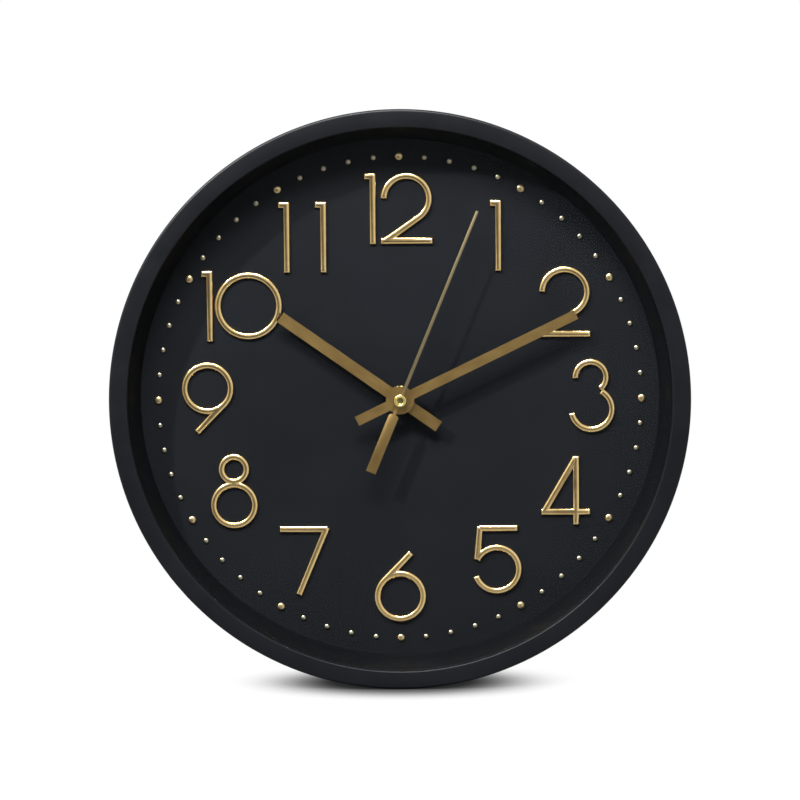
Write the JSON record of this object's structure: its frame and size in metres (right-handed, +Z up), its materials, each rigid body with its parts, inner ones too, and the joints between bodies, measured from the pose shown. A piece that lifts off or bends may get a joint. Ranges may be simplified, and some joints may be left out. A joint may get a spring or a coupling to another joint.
{
  "type": "quartz wall clock",
  "caption": "Round black wall clock with a flat glass, a black dial with applied gold numerals, gold hands and a battery quartz movement, hung on one screw.",
  "frame": {"origin": "where the clock hangs: the centre of the round top of the hanger's keyhole slot, on the wall's plane", "axes": "+Z up as the clock hangs, -Y the way the dial faces, +Y into the wall, +X to the right of someone reading the clock"},
  "size_m": [0.3, 0.042, 0.3],
  "materials": {
    "case_black": "satin moulded black",
    "lens_glass": "clear and flat",
    "dial_black": "fine matte black",
    "numeral_gold": "moulded, with bright gold hot foil",
    "hand_gold": "brushed along its length, with gold lacquer",
    "brass": "turned and bright",
    "steel": "plated",
    "movement_black": "moulded black",
    "rubber": "soft black",
    "battery_jacket": "plain dark jacket, bare ends",
    "board_green": "solder mask",
    "chip_epoxy": "black potting",
    "bobbin_plastic": "natural white",
    "copper": "enamelled copper wire",
    "magnet": "sintered",
    "gear_plastic": "natural acetal"
  },
  "bodies": {
    "case": {"case_ring": "case_black", "spacer_ring": "case_black", "lens": "lens_glass", "dial": "dial_black", "dial_screw_1": "steel", "dial_screw_2": "steel", "dial_screw_3": "steel", "dial_screw_4": "steel", "dial_screw_5": "steel", "dial_screw_6": "steel", "numeral_1": "numeral_gold", "numeral_2": "numeral_gold", "numeral_3": "numeral_gold", "numeral_4": "numeral_gold", "numeral_5": "numeral_gold", "numeral_6": "numeral_gold", "numeral_7": "numeral_gold", "numeral_8": "numeral_gold", "numeral_9": "numeral_gold", "numeral_10_a": "numeral_gold", "numeral_10_b": "numeral_gold", "numeral_11_a": "numeral_gold", "numeral_11_b": "numeral_gold", "numeral_12_a": "numeral_gold", "numeral_12_b": "numeral_gold", "movement_housing": "movement_black", "movement_cover": "movement_black", "hanger": "steel", "gasket": "rubber", "washer": "brass", "hex_nut": "brass", "contact_positive": "steel", "contact_negative": "steel", "circuit_board": "board_green", "chip": "chip_epoxy", "quartz_crystal": "steel", "stator": "steel", "coil_bobbin": "bobbin_plastic", "coil_winding": "copper"},
    "second_train": {"second_wheel": "gear_plastic", "second_hand": "hand_gold", "second_hand_tube": "brass"},
    "minute_train": {"minute_pipe": "brass", "minute_hand": "hand_gold"},
    "hour_train": {"hour_wheel": "gear_plastic", "hour_hand": "hand_gold"},
    "motion_train": {"motion_wheel": "gear_plastic", "setting_knob": "movement_black"},
    "centre_train": {"centre_wheel": "gear_plastic"},
    "third_train": {"third_wheel": "gear_plastic"},
    "intermediate_train": {"intermediate_wheel": "gear_plastic"},
    "rotor": {"rotor_pinion": "gear_plastic", "rotor_magnet": "magnet"},
    "battery_cell": {"battery": "battery_jacket"}
  },
  "joints": [
    {"name": "second_hand_turn", "type": "hinge", "parent": "case", "child": "second_train", "pos_m": [0, -0.015, -0.04], "axis": [0, 1, 0], "continuous": true},
    {"name": "minute_hand_turn", "type": "hinge", "parent": "case", "child": "minute_train", "pos_m": [0, -0.015, -0.04], "axis": [0, 1, 0], "continuous": true},
    {"name": "hour_hand_turn", "type": "hinge", "parent": "case", "child": "hour_train", "pos_m": [0, -0.015, -0.04], "axis": [0, 1, 0], "continuous": true},
    {"name": "setting_knob_turn", "type": "hinge", "parent": "case", "child": "motion_train", "pos_m": [0.01245, -0.015, -0.04109], "axis": [0, 1, 0], "continuous": true},
    {"name": "centre_wheel_turn", "type": "hinge", "parent": "case", "child": "centre_train", "pos_m": [0, -0.015, -0.04], "axis": [0, 1, 0], "continuous": true},
    {"name": "third_wheel_turn", "type": "hinge", "parent": "case", "child": "third_train", "pos_m": [-0.01061, -0.015, -0.03388], "axis": [0, 1, 0], "continuous": true},
    {"name": "intermediate_wheel_turn", "type": "hinge", "parent": "case", "child": "intermediate_train", "pos_m": [0.00563, -0.015, -0.02941], "axis": [0, 1, 0], "continuous": true},
    {"name": "rotor_turn", "type": "hinge", "parent": "case", "child": "rotor", "pos_m": [0.01481, -0.015, -0.02298], "axis": [0, 1, 0], "continuous": true},
    {"name": "battery_out", "type": "slide", "parent": "case", "child": "battery_cell", "axis": [0, 1, 0], "range_m": [0, 0.02]}
  ],
  "couplings": [
    {"joint": "intermediate_wheel_turn", "follows": "second_hand_turn", "ratio": -5},
    {"joint": "rotor_turn", "follows": "second_hand_turn", "ratio": 30},
    {"joint": "third_wheel_turn", "follows": "second_hand_turn", "ratio": -0.125},
    {"joint": "centre_wheel_turn", "follows": "second_hand_turn", "ratio": 0.016667},
    {"joint": "setting_knob_turn", "follows": "minute_hand_turn", "ratio": -0.33333},
    {"joint": "hour_hand_turn", "follows": "minute_hand_turn", "ratio": 0.083333}
  ]
}
